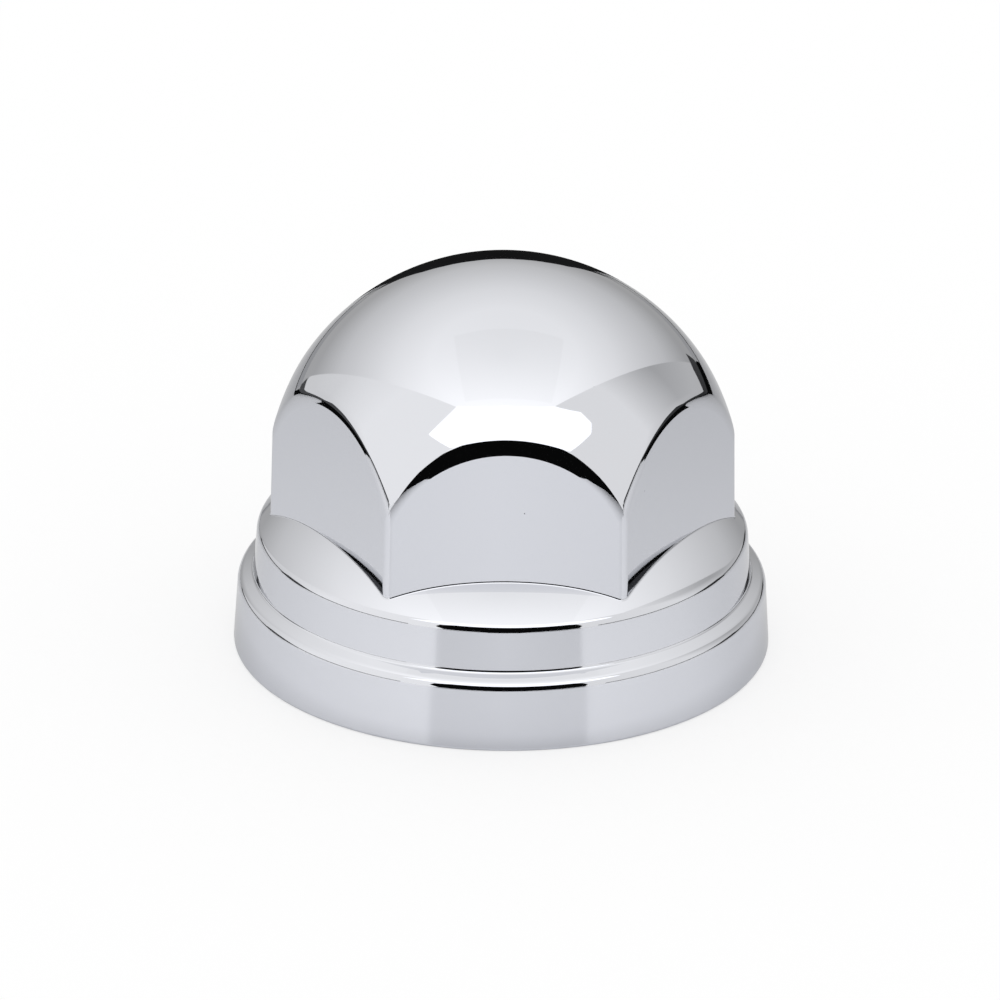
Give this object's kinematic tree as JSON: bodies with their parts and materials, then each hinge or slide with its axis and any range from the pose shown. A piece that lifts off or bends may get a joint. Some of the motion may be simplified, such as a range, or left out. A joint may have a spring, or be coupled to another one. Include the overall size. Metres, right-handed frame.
{
  "type": "wheel nut cover cap",
  "caption": "Push-on cover cap for a wheel nut: a domed hexagon with arched flats on a stepped round flange, hollow, with grip ribs in its hexagonal socket.",
  "frame": {"origin": "centre of the rim, on the plane the rim stands on", "axes": "+Z along the axis from the rim to the top of the dome, -Y out of the middle of one flat of the hexagon"},
  "size_m": [0.0534, 0.0534, 0.0397],
  "materials": {
    "chrome_plating": "bright chrome plating on moulded ABS, polished outside and in"
  },
  "bodies": {
    "root": {"cap": "chrome_plating"}
  },
  "joints": []
}
